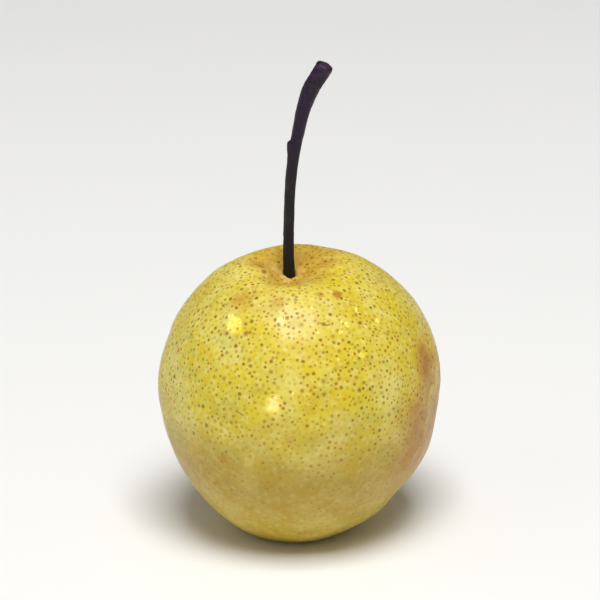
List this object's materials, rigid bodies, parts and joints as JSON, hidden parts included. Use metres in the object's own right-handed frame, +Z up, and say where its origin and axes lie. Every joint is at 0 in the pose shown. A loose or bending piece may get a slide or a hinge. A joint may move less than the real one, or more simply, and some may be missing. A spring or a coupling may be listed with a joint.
{
  "type": "pear",
  "caption": "Round golden pear with a speckled skin and a long dark woody stem, standing on its calyx end.",
  "frame": {"origin": "centre of the bounding box's base, on the surface that the pear stands on", "axes": "+Z up, from the calyx end to the stem; +X to the side that the stem's tip leans to; -Y to the front"},
  "size_m": [0.0722, 0.0726, 0.1264],
  "materials": {
    "pear_skin": "thin golden skin with brown lenticel dots, smooth and faintly waxy",
    "pear_stem": "dark purple-brown woody stem with fine bark, dull",
    "dried_calyx": "dry brown calyx, rough"
  },
  "bodies": {
    "root": {"fruit": "pear_skin", "stem": "pear_stem", "calyx": "dried_calyx"}
  },
  "joints": []
}
